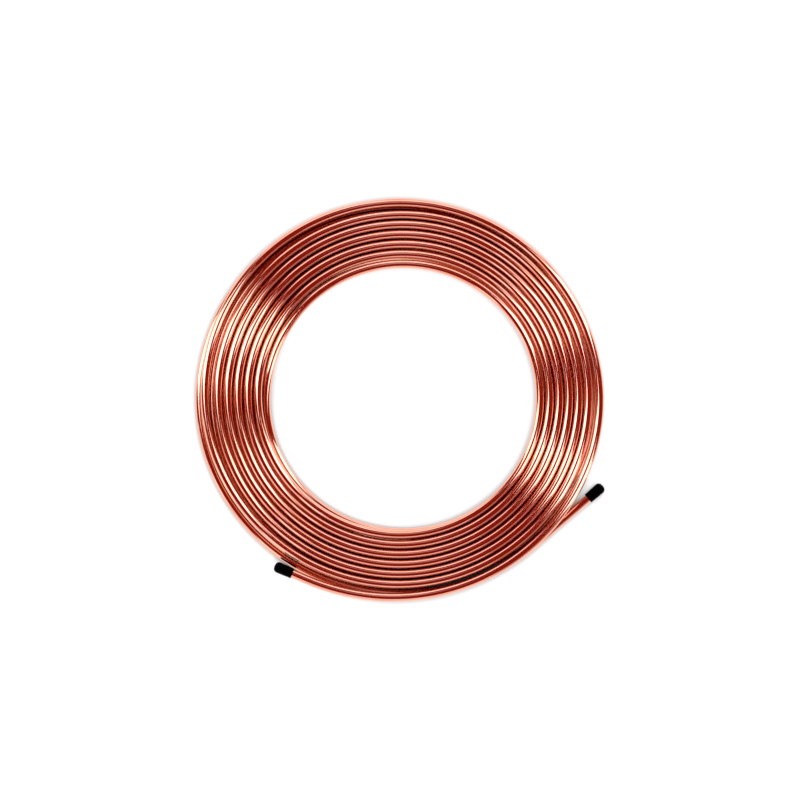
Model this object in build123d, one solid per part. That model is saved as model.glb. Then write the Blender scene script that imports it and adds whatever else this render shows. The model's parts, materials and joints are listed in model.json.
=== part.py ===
"""Immersion wort chiller: one soft copper tube wound into a flat coil of two layers, with a cap on each end.

Millimetres. The coil lies on z = 0, and the origin is under the middle of its bounding box. Seen from
above, the tube winds counter-clockwise all the way: in through the upper layer, down one layer at the
inner edge, and out through the lower layer. Turns are counted along the tube from the coil's start.
"""

from build123d import *
from math import atan, cos, degrees, exp, pi, radians, sin, sqrt
import os

os.makedirs("parts", exist_ok=True)

# Tube
tube_diameter = 9.525
tube_wall = 0.813

# Coil: the radius is the centre line's, where the upper layer ends at the inner edge. The innermost
# turns are shifted along +X, and the outermost ones are not
inner_radius = 145.3
start_angle = 242.5
oval = 1.65
inner_shift = 1.55
layer_gap = 0.15

# Upper layer. Its outer end flares out, and its first turn is slack in two places
upper_turns = 6.714
upper_turn_gap = 1.228
flare = 7.6
flare_fade = 0.10
early_slack = 1.8
early_slack_at = 0.304
early_slack_width = 0.07
late_slack = 3.6
late_slack_at = 0.734
late_slack_width = 0.22

# Drop to the lower layer, and how far it moves the tube outwards
drop_turns = 0.181
drop_outwards = 2.79

# Lower layer. Its last two turns are slack in one place each, counted back from the coil's end
lower_turns = 6.298
lower_turn_gap = 1.625
end_slack = 3.6
end_slack_back = 0.353
end_slack_width = 0.125
middle_slack = 2.2
middle_slack_back = 1.478
middle_slack_width = 0.13

# Straight ends of the tube. The lower one bends up a little, so that its cap lies on the floor
upper_tail = 15.2
lower_tail_level = 26.0
lower_tail_bend = 20.0
lower_tail_rising = 32.2

# Caps: a little wider towards the closed end
cap_length = 21.4
cap_wall = 0.9
cap_widening = 0.45
cap_end_wall = 2.2
cap_edge_radius = 4.6
cap_rim_radius = 0.4
cap_clearance = 0.05
cap_end_gap = 0.3

# Where the tube is divided: turns that go with each end, and the turn in the middle of each layer
upper_end_turns = 0.2
upper_middle = 3.5
lower_middle_after_drop = 3.2
lower_end_turns = 0.1

# How finely the coil's centre line is divided: arcs in a turn, and turns between the points of a tangent
arcs_per_turn = 16
tangent_step = 0.0005

tube_radius = tube_diameter / 2
bore_radius = tube_radius - tube_wall
cap_bore_radius = tube_radius + cap_clearance
cap_mouth_radius = cap_bore_radius + cap_wall
cap_end_radius = cap_mouth_radius + cap_widening
cap_depth = cap_length - cap_end_wall
tube_in_cap = cap_depth - cap_end_gap

drop_start = upper_turns
drop_end = drop_start + drop_turns
coil_turns = drop_end + lower_turns
lower_middle = drop_end + lower_middle_after_drop
lower_end_start = coil_turns - lower_end_turns
lower_height = tube_radius
upper_height = lower_height + tube_diameter + layer_gap
cap_mouth_along = lower_tail_bend / 2 + lower_tail_rising
cap_end_along = cap_mouth_along + cap_length - cap_edge_radius
rise_per_length = max(
    (cap_mouth_radius - tube_radius) / cap_mouth_along,
    (cap_end_radius - tube_radius) / cap_end_along,
)
tail_slope = atan(rise_per_length)


def bump(distance, width):
    """1 in the middle of a bulge, falling almost to 0 two widths away."""
    return exp(-((distance / width) ** 2))


def smooth_step(share):
    """0 to 1, level at both ends."""
    share = min(max(share, 0.0), 1.0)
    return share * share * (3 - 2 * share)


def shifted(inwards, turn):
    """How much further out the inner shift puts this turn, with the turn's share of the way inwards."""
    return inner_shift * inwards * cos(radians(start_angle) + 2 * pi * turn)


def upper_radius(turn):
    """The centre line's radius in the upper layer."""
    wound = (tube_diameter + upper_turn_gap) * (upper_turns - turn)
    flared = flare * exp(-turn / flare_fade)
    early = early_slack * bump(turn - early_slack_at, early_slack_width)
    late = late_slack * bump(turn - late_slack_at, late_slack_width)
    return inner_radius + wound + flared + early + late + shifted(turn / upper_turns, turn)


def lower_radius(turn):
    """The centre line's radius in the lower layer."""
    wound = (tube_diameter + lower_turn_gap) * (turn - drop_end)
    back = coil_turns - turn
    slack = end_slack * bump(back - end_slack_back, end_slack_width)
    slack += middle_slack * bump(back - middle_slack_back, middle_slack_width)
    return inner_radius + drop_outwards + wound + slack + shifted(back / lower_turns, turn)


def coil_point(turn):
    """The centre line's place at this turn."""
    dropped = smooth_step((turn - drop_start) / drop_turns)
    angle = radians(start_angle) + 2 * pi * turn
    radius = upper_radius(turn) * (1 - dropped) + lower_radius(turn) * dropped + oval * cos(2 * angle)
    height = upper_height + (lower_height - upper_height) * dropped
    return Vector(radius * cos(angle), radius * sin(angle), height)


def coil_heading(turn):
    """The centre line's direction at this turn, as a unit vector."""
    return (coil_point(turn + tangent_step) - coil_point(turn - tangent_step)).normalized()


def arc_pair(start, start_heading, end, end_heading):
    """Two tangent arcs that leave start and reach end in the given directions."""
    span = end - start
    a = 2 * (start_heading.dot(end_heading) - 1)
    b = -2 * span.dot(start_heading + end_heading)
    c = span.dot(span)
    reach = (-b - sqrt(b * b - 4 * a * c)) / (2 * a)
    start_corner = start + start_heading * reach
    end_corner = end - end_heading * reach
    middle = (start_corner + end_corner) / 2
    return [
        Edge.make_tangent_arc(start, start_heading, middle),
        Edge.make_tangent_arc(middle, end_corner - start_corner, end),
    ]


def coil_arcs(first_turn, last_turn):
    """The centre line between two turns, as tangent arcs."""
    pairs = round((last_turn - first_turn) * arcs_per_turn / 2)
    turns = [first_turn + (last_turn - first_turn) * i / pairs for i in range(pairs + 1)]
    arcs = []
    for here, there in zip(turns, turns[1:]):
        arcs += arc_pair(coil_point(here), coil_heading(here), coil_point(there), coil_heading(there))
    return arcs


def tube_section():
    return Circle(tube_radius) - Circle(bore_radius)


def tube_along(arcs):
    """A hollow tube along tangent arcs. Its volume is compared with its section times its length."""
    path = Wire(arcs)
    section = Plane(origin=path @ 0, z_dir=path % 0) * tube_section()
    tube = sweep(section, path=path)
    print("length:", path.length, "volume / (section x length):", tube.volume / section.area / path.length)
    return tube


def straight_tube(start, heading, length):
    return extrude(Plane(origin=start, z_dir=heading) * tube_section(), length)


def push_on_cap(tube_end, heading):
    """A cap over the tube's end, closed on the side that the heading points to."""
    mouth = Plane(origin=tube_end - heading * tube_in_cap, z_dir=heading)
    along = Axis(mouth.origin, heading)
    taper = -degrees(atan(cap_widening / cap_length))
    cap = extrude(mouth * Circle(cap_mouth_radius), cap_length, taper=taper)
    cap = fillet(cap.edges().sort_by(along)[-1], min(cap_edge_radius, 0.9 * cap_end_radius))
    cap -= extrude(mouth * Circle(cap_bore_radius), cap_depth)
    rim = cap.edges().filter_by(GeomType.CIRCLE).sort_by(along)[:2]
    return fillet(rim, min(cap_rim_radius, 0.4 * cap_wall))


# The upper end is straight and level, and points away from the coil's start
upper_heading = -coil_heading(0)
upper_end = coil_point(0) + upper_heading * (upper_tail + tube_in_cap)

# The lower end leaves the coil level, bends up by the tail's slope, and is straight again
level_heading = coil_heading(coil_turns)
level_end = coil_point(coil_turns) + level_heading * lower_tail_level
rising_heading = level_heading * cos(tail_slope) + Vector(0, 0, sin(tail_slope))
bend_end = level_end + (level_heading + rising_heading) * (lower_tail_bend / 2)
lower_end = bend_end + rising_heading * (lower_tail_rising + tube_in_cap)
lower_tail = [
    Edge.make_line(coil_point(coil_turns), level_end),
    Edge.make_tangent_arc(level_end, level_heading, bend_end),
]

upper_straight = straight_tube(upper_end, -upper_heading, upper_tail + tube_in_cap)
lower_straight = straight_tube(bend_end, rising_heading, lower_tail_rising + tube_in_cap)

parts = {
    "tube_end_upper": upper_straight + tube_along(coil_arcs(0, upper_end_turns)),
    "coil_upper_outer": tube_along(coil_arcs(upper_end_turns, upper_middle)),
    "coil_upper_inner": tube_along(coil_arcs(upper_middle, drop_end)),
    "coil_lower_inner": tube_along(coil_arcs(drop_end, lower_middle)),
    "coil_lower_outer": tube_along(coil_arcs(lower_middle, lower_end_start)),
    "tube_end_lower": lower_straight + tube_along(coil_arcs(lower_end_start, coil_turns) + lower_tail),
    "end_cap_upper": push_on_cap(upper_end, upper_heading),
    "end_cap_lower": push_on_cap(lower_end, rising_heading),
}

# The origin goes under the middle of the whole part
box = Compound(list(parts.values())).bounding_box()
to_origin = Location(-Vector(box.center().X, box.center().Y, box.min.Z))

for name, shape in parts.items():
    export_step(shape.moved(to_origin), f"parts/{name}.step")
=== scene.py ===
import json
from math import atan, cos, exp, pi, radians, sin, tan

import bpy
from mathutils import Matrix, Vector


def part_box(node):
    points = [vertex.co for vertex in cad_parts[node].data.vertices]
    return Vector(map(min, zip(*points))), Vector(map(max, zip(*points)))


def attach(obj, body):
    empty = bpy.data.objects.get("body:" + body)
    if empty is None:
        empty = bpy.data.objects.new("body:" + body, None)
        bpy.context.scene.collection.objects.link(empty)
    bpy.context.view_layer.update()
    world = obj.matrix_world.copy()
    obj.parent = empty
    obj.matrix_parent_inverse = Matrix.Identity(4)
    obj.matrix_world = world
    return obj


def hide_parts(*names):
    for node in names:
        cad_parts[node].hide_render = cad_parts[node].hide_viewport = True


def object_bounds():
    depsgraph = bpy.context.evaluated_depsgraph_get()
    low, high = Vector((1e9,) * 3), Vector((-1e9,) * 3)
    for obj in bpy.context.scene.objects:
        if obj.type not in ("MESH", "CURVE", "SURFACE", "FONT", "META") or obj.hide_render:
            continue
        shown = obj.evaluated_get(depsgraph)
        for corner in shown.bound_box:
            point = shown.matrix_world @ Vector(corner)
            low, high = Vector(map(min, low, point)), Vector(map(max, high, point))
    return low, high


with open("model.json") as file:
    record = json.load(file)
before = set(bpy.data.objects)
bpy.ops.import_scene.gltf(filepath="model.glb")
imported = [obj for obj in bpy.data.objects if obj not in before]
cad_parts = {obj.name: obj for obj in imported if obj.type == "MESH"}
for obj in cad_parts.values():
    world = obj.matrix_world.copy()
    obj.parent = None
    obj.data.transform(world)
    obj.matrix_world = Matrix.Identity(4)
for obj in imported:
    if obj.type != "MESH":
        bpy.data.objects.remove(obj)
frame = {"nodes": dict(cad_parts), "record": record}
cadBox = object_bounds()
tubeNodes = [name for name in frame["nodes"] if not name.startswith("end_cap")]
mounts = {mount["name"]: mount for mount in frame["record"]["mounts"]}
print("frame loaded:", len(frame["nodes"]), "nodes")


class Tap:  # one output of a node, for use in Python expressions
    def __init__(self, graph, node, output):
        self.graph = graph
        self.node = node
        self.output = output

    def other(self, output):
        return Tap(self.graph, self.node, output)

    def __add__(self, value):
        return self.graph.maths("ADD", self, value)

    def __sub__(self, value):
        return self.graph.maths("SUBTRACT", self, value)

    def __rsub__(self, value):
        return self.graph.maths("SUBTRACT", value, self)

    def __mul__(self, value):
        return self.graph.maths("MULTIPLY", self, value)

    def __pow__(self, value):
        return self.graph.maths("POWER", self, value)

    __radd__ = __add__
    __rmul__ = __mul__


class Graph:
    def __init__(self, owner):
        owner.use_nodes = True
        self.tree = owner.node_tree
        self.tree.nodes.clear()

    def node(self, kind, settings=None, values=None, output=0):
        made = self.tree.nodes.new(kind)
        for name, value in (settings or {}).items():
            if name == "stops":
                ramp = made.color_ramp
                while len(ramp.elements) < len(value):
                    ramp.elements.new(1)
                for element, (position, colour) in zip(ramp.elements, value):
                    element.position = position
                    element.color = (*colour, 1)
            else:
                setattr(made, name, value)
        for name, value in (values or {}).items():
            if isinstance(value, Tap):
                self.tree.links.new(value.node.outputs[value.output], made.inputs[name])
            else:
                made.inputs[name].default_value = value
        return Tap(self, made, output)

    def maths(self, operation, first, second=0.0):
        return self.node("ShaderNodeMath", {"operation": operation}, {0: first, 1: second})

    def between(self, value, low, high):  # 0 below low, 1 above high
        return self.node(
            "ShaderNodeMapRange",
            {"clamp": True},
            {"Value": value, "From Min": low, "From Max": high, "To Min": 0.0, "To Max": 1.0},
        )

    def mixed(self, share, first, second):
        return self.node("ShaderNodeMix", {"data_type": "RGBA"}, {0: share, 6: first, 7: second}, 2)

    def noise(self, place, scale, detail, roughness=0.5):
        values = {"Vector": place, "Scale": scale, "Detail": detail, "Roughness": roughness}
        return self.node("ShaderNodeTexNoise", None, values)


def onlySelect(thing):
    if bpy.context.object and bpy.context.object.mode != "OBJECT":
        bpy.ops.object.mode_set(mode="OBJECT")
    bpy.ops.object.select_all(action="DESELECT")
    thing.select_set(True)
    bpy.context.view_layer.objects.active = thing


def selectWhere(thing, kind, test):  # kind is VERT, EDGE or FACE
    bpy.ops.object.mode_set(mode="EDIT")
    bpy.ops.mesh.select_mode(type=kind)
    bpy.ops.mesh.select_all(action="DESELECT")
    bpy.ops.object.mode_set(mode="OBJECT")
    mesh = thing.data
    items = {"VERT": mesh.vertices, "EDGE": mesh.edges, "FACE": mesh.polygons}[kind]
    for item in items:
        item.select = test(item, mesh)
    bpy.ops.object.mode_set(mode="EDIT")


copperLook = {
    "fresh": (0.98, 0.56, 0.42, 1),
    "aged": (0.93, 0.44, 0.29, 1),
    "patchScale": 22.0,
    "patchShare": 0.7,          # ageing follows patches this much, and the broad drawing lines otherwise
    "ageing": (0.40, 0.66),     # none below the first, and full above the second
    "roughness": 0.06,
    "agedRoughness": 0.04,      # added where the copper has dulled
    "lineRoughness": 0.04,      # added in deep drawing lines
    "deepLines": (0.5, 0.8),
    "broadLines": (5.0, 2.5),   # how finely they lie round the tube, and how fast they change per metre
    "fineLines": (26.0, 14.0),
    "grainScale": 700.0,
    "grainDepth": 0.05,         # against 1 for the drawing lines
    "lineDepth": 0.0000025,
    "tubeLength": 15.22,
}


def copperMaterial():
    look = copperLook
    material = bpy.data.materials.new("drawnCopper")
    g = Graph(material)
    spot = g.node("ShaderNodeUVMap", {"uv_map": "UVMap"})
    split = g.node("ShaderNodeSeparateXYZ", None, {0: spot})
    along = split * look["tubeLength"]   # metres from the tube's first end
    turn = split.other(1) * (2 * pi)     # round the tube
    across = g.maths("COSINE", turn)
    upDown = g.maths("SINE", turn)

    def drawnLines(roundTube, perMetre):
        place = g.node("ShaderNodeCombineXYZ", None, {
            0: across * roundTube, 1: upDown * roundTube, 2: along * perMetre,
        })
        return g.noise(place, 1.0, 2.0, 0.6)

    broad = drawnLines(*look["broadLines"])
    fine = drawnLines(*look["fineLines"])
    place = g.node("ShaderNodeTexCoord").other("Object")
    patches = g.noise(place, look["patchScale"], 4.0, 0.55)
    grain = g.noise(place, look["grainScale"], 2.0)
    dulled = g.between(patches * look["patchShare"] + broad * (1 - look["patchShare"]), *look["ageing"])
    colour = g.mixed(dulled, look["fresh"], look["aged"])
    deep = g.between(fine, *look["deepLines"])
    rough = look["roughness"] + dulled * look["agedRoughness"] + deep * look["lineRoughness"]
    height = fine * 0.5 + broad * 0.5 + grain * look["grainDepth"]
    bump = g.node(
        "ShaderNodeBump", None, {"Strength": 1.0, "Distance": look["lineDepth"], "Height": height}
    )
    shader = g.node("ShaderNodeBsdfPrincipled", None, {
        "Base Color": colour, "Metallic": 1.0, "Roughness": rough, "Normal": bump,
    })
    g.node("ShaderNodeOutputMaterial", None, {"Surface": shader})
    return material


vinylLook = {
    "clean": (0.0004, 0.0004, 0.0004, 1),
    "bloom": (0.0012, 0.0012, 0.0012, 1),
    "cloudScale": 160.0,
    "bloomed": (0.45, 0.75),    # none below the first, and full above the second
    "roughness": 0.32,
    "bloomRoughness": 0.12,     # added by the bloom
    "pitScale": 1600.0,
    "pitRoughness": 0.05,
    "pitDepth": 0.00003,
    "cloudDepth": 2.0,          # against 1 for the pits
    "specular": 0.02,
}


def vinylMaterial():
    look = vinylLook
    material = bpy.data.materials.new("softVinyl")
    g = Graph(material)
    place = g.node("ShaderNodeTexCoord").other("Object")
    cloud = g.noise(place, look["cloudScale"], 3.0)
    pits = g.noise(place, look["pitScale"], 2.0)
    worn = g.between(cloud, *look["bloomed"])
    colour = g.mixed(worn, look["clean"], look["bloom"])
    rough = look["roughness"] + worn * look["bloomRoughness"] + pits * look["pitRoughness"]
    height = pits + cloud * look["cloudDepth"]
    bump = g.node(
        "ShaderNodeBump", None, {"Strength": 0.6, "Distance": look["pitDepth"], "Height": height}
    )
    shader = g.node("ShaderNodeBsdfPrincipled", None, {
        "Base Color": colour, "Roughness": rough, "Specular IOR Level": look["specular"], "Normal": bump,
    })
    g.node("ShaderNodeOutputMaterial", None, {"Surface": shader})
    return material


copper = copperMaterial()
vinyl = vinylMaterial()
print("materials made")


coil = {
    "outside": 0.009525,
    "wall": 0.000813,
    "startAngle": 242.5,          # degrees, seen from above, where the upper end leaves the coil
    "innerRadius": 0.1453,        # of the centre line, where the upper layer ends
    "innerShift": 0.00155,        # how far the innermost turns are shifted to the right
    "oval": 0.00165,
    "layerGap": 0.00015,
    "upperTurns": 6.714,
    "upperGap": 0.001228,
    "flare": (0.0076, 0.10),      # how far the start stands out, and over how many turns it fades
    "earlySlack": (0.0018, 0.304, 0.07),   # how far out, at which turn, how many turns wide
    "lateSlack": (0.0036, 0.734, 0.22),
    "dropTurns": 0.181,
    "dropOutwards": 0.00279,
    "lowerTurns": 6.298,
    "lowerGap": 0.001625,
    "endSlack": (0.0036, 0.353, 0.125),    # counted back from the lower end
    "middleSlack": (0.0022, 1.478, 0.13),
    "upperTail": 0.0341,
    "lowerTail": (0.026, 0.020, 0.0511),   # level, bending up, straight
    "lowerTailRise": (0.0014, 0.0590),     # height and length, so that its cap lies on the floor
    "tangentStep": 0.0005,                 # turns
    "ringsPerTurn": 144,
    "sides": 24,
    "rimRounding": 0.00012,
    "smoothTo": 40,                        # degrees between faces
}


def slackAt(turn, slack):
    outwards, middle, width = slack
    return outwards * exp(-(((turn - middle) / width) ** 2))


def coilPoint(turn):
    c = coil
    share = min(max((turn - c["upperTurns"]) / c["dropTurns"], 0.0), 1.0)
    dropped = share * share * (3 - 2 * share)
    dropEnd = c["upperTurns"] + c["dropTurns"]
    back = dropEnd + c["lowerTurns"] - turn
    angle = radians(c["startAngle"]) + 2 * pi * turn
    aside = c["innerShift"] * cos(angle)
    upper = c["innerRadius"] + (c["outside"] + c["upperGap"]) * (c["upperTurns"] - turn)
    upper += c["flare"][0] * exp(-turn / c["flare"][1])
    upper += slackAt(turn, c["earlySlack"]) + slackAt(turn, c["lateSlack"])
    upper += aside * turn / c["upperTurns"]
    lower = c["innerRadius"] + c["dropOutwards"] + (c["outside"] + c["lowerGap"]) * (turn - dropEnd)
    lower += slackAt(back, c["endSlack"]) + slackAt(back, c["middleSlack"])
    lower += aside * back / c["lowerTurns"]
    radius = upper * (1 - dropped) + lower * dropped + c["oval"] * cos(2 * angle)
    height = c["outside"] / 2 + (c["outside"] + c["layerGap"]) * (1 - dropped)
    return Vector((radius * cos(angle), radius * sin(angle), height))


def coilHeading(turn):
    step = coil["tangentStep"]
    return (coilPoint(turn + step) - coilPoint(turn - step)).normalized()


def shares(count):  # equal steps, up to 1
    return [(i + 1) / count for i in range(count)]


def tubeRoute():
    c = coil
    coilEnd = c["upperTurns"] + c["dropTurns"] + c["lowerTurns"]
    steps = round(coilEnd * c["ringsPerTurn"])
    places = [coilPoint(coilEnd * i / steps) for i in range(steps + 1)]
    away = -coilHeading(0)
    places = [places[0] + away * c["upperTail"] * share for share in reversed(shares(5))] + places
    level, bend, rising = c["lowerTail"]
    ahead = coilHeading(coilEnd)
    slope = atan(c["lowerTailRise"][0] / c["lowerTailRise"][1])
    here = places[-1]
    places += [here + ahead * level * share for share in shares(4)]
    here = places[-1]
    for share in shares(5):  # an arc of one small angle
        turned = slope * share
        reach = bend / slope * sin(turned)
        rise = bend / slope * (1 - cos(turned))
        places.append(here + ahead * reach + Vector((0, 0, rise)))
    here = places[-1]
    up = ahead * cos(slope) + Vector((0, 0, sin(slope)))
    places += [here + up * rising * share for share in shares(5)]
    return places


def layTube():
    c = coil
    route = bpy.data.curves.new("copperTube", "CURVE")
    route.dimensions = "3D"
    route.twist_mode = "Z_UP"
    route.bevel_depth = c["outside"] / 2
    route.bevel_resolution = (c["sides"] - 4) // 2
    places = tubeRoute()
    line = route.splines.new("POLY")
    line.points.add(len(places) - 1)
    for point, place in zip(line.points, places):
        point.co = (*place, 1)
    tube = bpy.data.objects.new("copperTube", route)
    bpy.context.collection.objects.link(tube)
    onlySelect(tube)
    bpy.ops.object.convert(target="MESH")
    tube = bpy.context.object

    # set down where the frame's own tube lies
    low = [min(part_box(name)[0][axis] for name in tubeNodes) for axis in range(3)]
    high = [max(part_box(name)[1][axis] for name in tubeNodes) for axis in range(3)]
    ownLow = [min(v.co[axis] for v in tube.data.vertices) for axis in range(3)]
    ownHigh = [max(v.co[axis] for v in tube.data.vertices) for axis in range(3)]
    shift = Vector([(low[a] + high[a] - ownLow[a] - ownHigh[a]) / 2 for a in range(3)])
    larger = [high[a] - low[a] - ownHigh[a] + ownLow[a] for a in range(3)]
    print("tube set down by", [round(v * 1000, 3) for v in shift], "mm")
    print("frame's tube is larger by", [round(v * 1000, 3) for v in larger], "mm")
    tube.location = shift
    bpy.ops.object.transform_apply(location=True, rotation=False, scale=False)

    wall = tube.modifiers.new("wall", "SOLIDIFY")
    wall.thickness = c["wall"]
    wall.offset = -1
    wall.use_rim = True
    bpy.ops.object.modifier_apply(modifier="wall")

    # the cut ends are rounded over a little
    ends = [places[0] + shift, places[-1] + shift]
    shortEdge = c["outside"] * 0.2
    endReach = c["outside"] * 0.51

    def atRim(edge, mesh):
        first, second = [mesh.vertices[i].co for i in edge.vertices]
        middle = (first + second) / 2
        atEnd = any((middle - end).length < endReach for end in ends)
        return atEnd and (first - second).length < shortEdge

    selectWhere(tube, "EDGE", atRim)
    bpy.ops.mesh.bevel(offset=c["rimRounding"], segments=2, affect="EDGES")
    bpy.ops.object.mode_set(mode="OBJECT")
    bpy.ops.object.shade_smooth_by_angle(angle=radians(c["smoothTo"]))
    tube.data.materials.clear()
    tube.data.materials.append(copper)
    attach(tube, "coil")
    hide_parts(*tubeNodes)
    print("tube:", len(tube.data.polygons), "faces")
    return tube


layTube()


cap = {
    "length": 0.0214,
    "mouth": 0.00565,        # radius of the rolled lip at the open end
    "lip": 0.0025,           # how far back the lip reaches
    "lipRadius": 0.00575,
    "tip": 0.00606,          # radius where the tip starts to round
    "tipRounding": 0.0046,
    "crown": 0.0002,         # how much the tip's middle stands up
    "wall": 0.00084,
    "overTube": 0.0189,
    "mouthRounding": 0.0003,
    "lipStep": 0.00004,      # how much the wall falls away behind the lip
    "sides": 56,
    "tipRings": 7,
    "smoothTo": 50,          # degrees between faces
}


def capRings():  # height above the mouth, and radius
    c = cap
    straight = c["length"] - c["crown"] - c["tipRounding"]
    rings = [
        (c["mouthRounding"], c["mouth"]),
        (c["lip"] * 0.5, c["lipRadius"]),
        (c["lip"], c["lipRadius"]),
        (c["lip"] * 1.3, c["lipRadius"] - c["lipStep"]),
        (straight * 0.5, (c["lipRadius"] + c["tip"]) / 2),
        (straight, c["tip"]),
    ]
    for share in shares(c["tipRings"]):
        turned = pi / 2 * share
        height = straight + c["tipRounding"] * sin(turned)
        rings.append((height, c["tip"] - c["tipRounding"] * (1 - cos(turned))))
    rings.append((c["length"] - c["crown"] * 0.3, (c["tip"] - c["tipRounding"]) * 0.5))
    return rings


def makeCap(name, mount, body):
    c = cap
    height, radius = 0.0, c["mouth"] - c["mouthRounding"]
    bpy.ops.mesh.primitive_circle_add(vertices=c["sides"], radius=radius, fill_type="NOTHING")
    shell = bpy.context.object
    shell.name = shell.data.name = name
    onlySelect(shell)
    bpy.ops.object.mode_set(mode="EDIT")
    bpy.ops.mesh.select_all(action="SELECT")
    for nextHeight, nextRadius in capRings():
        bpy.ops.mesh.extrude_edges_move(TRANSFORM_OT_translate={"value": (0, 0, nextHeight - height)})
        grow = nextRadius / radius
        bpy.ops.transform.resize(value=(grow, grow, 1), center_override=(0, 0, nextHeight))
        height, radius = nextHeight, nextRadius
    bpy.ops.mesh.extrude_edges_move(TRANSFORM_OT_translate={"value": (0, 0, c["length"] - height)})
    bpy.ops.mesh.merge(type="CENTER")
    bpy.ops.mesh.select_all(action="SELECT")
    bpy.ops.mesh.normals_make_consistent(inside=False)
    bpy.ops.object.mode_set(mode="OBJECT")
    wall = shell.modifiers.new("wall", "SOLIDIFY")
    wall.thickness = c["wall"]
    wall.offset = -1
    wall.use_rim = True
    bpy.ops.object.modifier_apply(modifier="wall")
    bpy.ops.object.shade_smooth_by_angle(angle=radians(c["smoothTo"]))
    axis = Vector(mount["axis"])
    mouth = Vector(mount["pos_m"]) - axis * c["overTube"]
    turned = axis.to_track_quat("Z", "Y").to_matrix().to_4x4()
    shell.matrix_world = Matrix.Translation(mouth) @ turned
    bpy.ops.object.transform_apply(location=True, rotation=True, scale=True)
    shell.data.materials.append(vinyl)
    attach(shell, body)
    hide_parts(name.replace("Shell", ""))
    return shell


makeCap("end_cap_upperShell", mounts["water_bore_upper"], "cap_upper")
makeCap("end_cap_lowerShell", mounts["water_bore_lower"], "cap_lower")
print("caps made")


floorLook = {
    "size": 14.0,
    "colour": (0.20, 0.20, 0.20, 1),
    "glow": 0.95,
    "shadowReach": 0.014,
    "shadow": (0.20, 0.78),         # darkest where this share of the sky is open, and gone at the second
    "paintedShadowRadii": (0.1480, 0.200),   # painted shadow: the floor is made black between these radii, under the coil
    "paintedShadowEdge": 0.001,
    "holeMiddle": (0.0028, 0.00094),
}


def layFloor():
    look = floorLook
    bpy.ops.mesh.primitive_plane_add(size=look["size"], location=(0, 0, cadBox[0].z))
    floor = bpy.context.object
    floor.name = "floor"
    material = bpy.data.materials.new("floorPaper")
    g = Graph(material)
    rays = g.node("ShaderNodeLightPath")
    seen = rays.other("Is Camera Ray") + rays.other("Is Glossy Ray") + rays.other("Is Transmission Ray")
    seen = g.maths("MINIMUM", seen, 1.0)
    place = g.node("ShaderNodeTexCoord").other("Object")
    across = g.node("ShaderNodeSeparateXYZ", None, {0: place})
    middle = look["holeMiddle"]
    fromMiddle = ((across - middle[0]) ** 2 + (across.other(1) - middle[1]) ** 2) ** 0.5

    def beyond(radius):
        return g.between(fromMiddle, radius - look["paintedShadowEdge"], radius + look["paintedShadowEdge"])

    inner, outer = look["paintedShadowRadii"]
    # painted shadow: a black ring on the floor under the coil, set by distance from the hole's middle
    paintedShadow = beyond(inner) * (1 - beyond(outer))
    around = g.node("ShaderNodeAmbientOcclusion", {"samples": 16}, {"Distance": look["shadowReach"]})
    # the floor's colour and glow are darkened by painted shadow, from ambient occlusion near the object
    # and from the black ring under the coil
    openSky = g.between(around.other("AO"), *look["shadow"]) * (1 - paintedShadow)
    glow = g.node("ShaderNodeEmission", None, {
        "Color": g.mixed(openSky, (0, 0, 0, 1), (1, 1, 1, 1)), "Strength": seen * look["glow"],
    })
    paper = g.node("ShaderNodeBsdfDiffuse", None, {
        "Color": g.mixed(openSky, (0, 0, 0, 1), look["colour"]),
    })
    both = g.node("ShaderNodeAddShader", None, {0: paper, 1: glow})
    g.node("ShaderNodeOutputMaterial", None, {"Surface": both})
    floor.data.materials.append(material)


layFloor()

# azimuth and width in degrees, from and to are heights above the floor in degrees
panels = {
    "leftPanel": {"azimuth": 165, "width": 27, "from": 12, "to": 73, "strength": 2.5},
    "leftLowPanel": {"azimuth": 200, "width": 26, "from": 2, "to": 19, "strength": 0.9},
    "rightBackPanel": {"azimuth": 30, "width": 23, "from": 6, "to": 70, "strength": 2.35},
    "rightFrontPanel": {"azimuth": 334, "width": 17, "from": 6, "to": 66, "strength": 2.1},
    "backWall": {"azimuth": 88, "width": 92, "from": 8, "to": 45, "strength": 1.22},
    "backStrip": {"azimuth": 92, "width": 20, "from": 52, "to": 84, "strength": 0.34},
    "frontLowWall": {"azimuth": 309, "width": 26, "from": 4, "to": 34, "strength": 0.30},
    "frontLeftWall": {"azimuth": 250, "width": 94, "from": 4, "to": 39, "strength": 0.84},
    "frontLeftStrip": {"azimuth": 232, "width": 12, "from": 16, "to": 54, "strength": 0.72},
}
panelTint = (0.88, 0.96, 1.03)
panelDistance = 1.6


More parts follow.
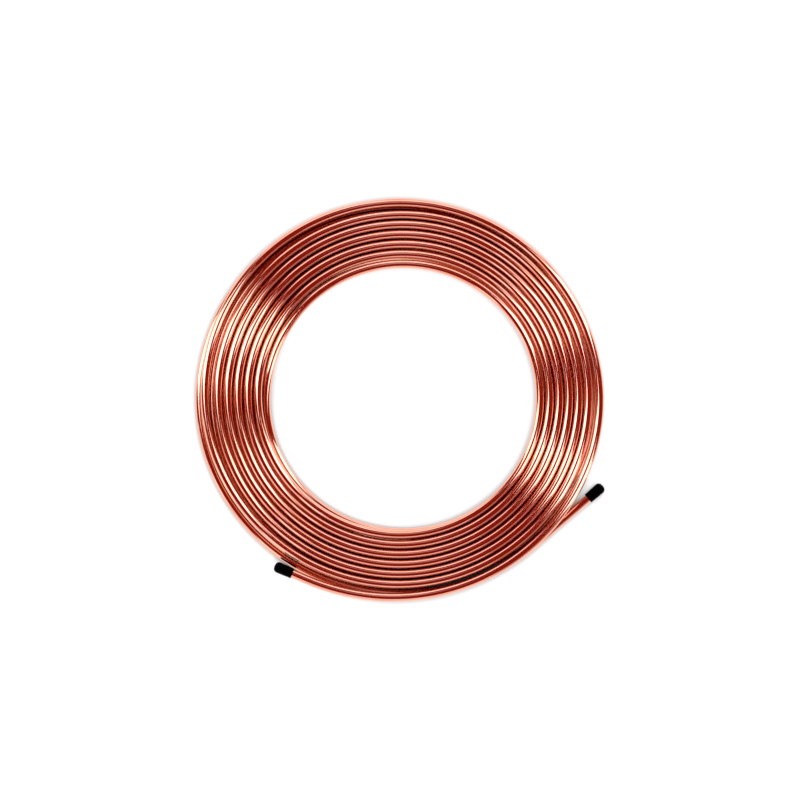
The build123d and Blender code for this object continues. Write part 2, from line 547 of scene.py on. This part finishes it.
def hangPanels():
    for name, panel in panels.items():
        light = bpy.data.lights.new(name, "AREA")
        light.shape = "RECTANGLE"
        light.color = panelTint
        height = radians((panel["from"] + panel["to"]) / 2)
        light.size = 2 * panelDistance * cos(height) * tan(radians(panel["width"] / 2))
        light.size_y = 2 * panelDistance * tan(radians((panel["to"] - panel["from"]) / 2))
        light.energy = panel["strength"] * pi * light.size * light.size_y
        side = radians(panel["azimuth"])
        outwards = Vector((cos(height) * cos(side), cos(height) * sin(side), sin(height)))
        lamp = bpy.data.objects.new(name, light)
        bpy.context.collection.objects.link(lamp)
        lamp.location = outwards * panelDistance
        lamp.rotation_euler = outwards.to_track_quat("Z", "Y").to_euler()
        lamp.visible_camera = False


hangPanels()

room = [  # height of the direction, from straight down to straight up, and the room's colour there
    (0.00, (0.80, 0.80, 0.80)),
    (0.50, (0.58, 0.36, 0.27)),
    (0.54, (0.38, 0.10, 0.05)),
    (0.66, (0.28, 0.035, 0.014)),
    (0.84, (0.24, 0.014, 0.005)),
    (1.00, (0.23, 0.011, 0.003)),
]


def paintRoom():
    world = bpy.data.worlds.new("room")
    bpy.context.scene.world = world
    g = Graph(world)
    direction = g.node("ShaderNodeTexCoord").other("Generated")
    height = g.node("ShaderNodeSeparateXYZ", None, {0: direction}, 2) * 0.5 + 0.5
    colour = g.node("ShaderNodeValToRGB", {"stops": room}, {0: height})
    rays = g.node("ShaderNodeLightPath")
    seen = g.mixed(rays.other("Is Camera Ray"), colour, (1, 1, 1, 1))
    back = g.node("ShaderNodeBackground", None, {"Color": seen, "Strength": 1.0})
    g.node("ShaderNodeOutputWorld", None, {"Surface": back})


paintRoom()

view = {
    "height": 4.0,
    "level": 0.0144,        # the height at which the frame is frameWidth wide
    "frameWidth": 0.8727,
    "aside": (0.00007, -0.00004),
    "sensor": 36.0,         # millimetres
    "clipEnd": 50.0,
}


def setCamera():
    data = bpy.data.cameras.new("camera")
    camera = bpy.data.objects.new("camera", data)
    bpy.context.collection.objects.link(camera)
    camera.location = (*view["aside"], view["height"])
    data.sensor_width = view["sensor"]
    data.lens = view["sensor"] * (view["height"] - view["level"]) / view["frameWidth"]
    data.clip_end = view["clipEnd"]
    bpy.context.scene.camera = camera


setCamera()
bpy.context.scene.view_settings.view_transform = "Standard"
print("stage set")
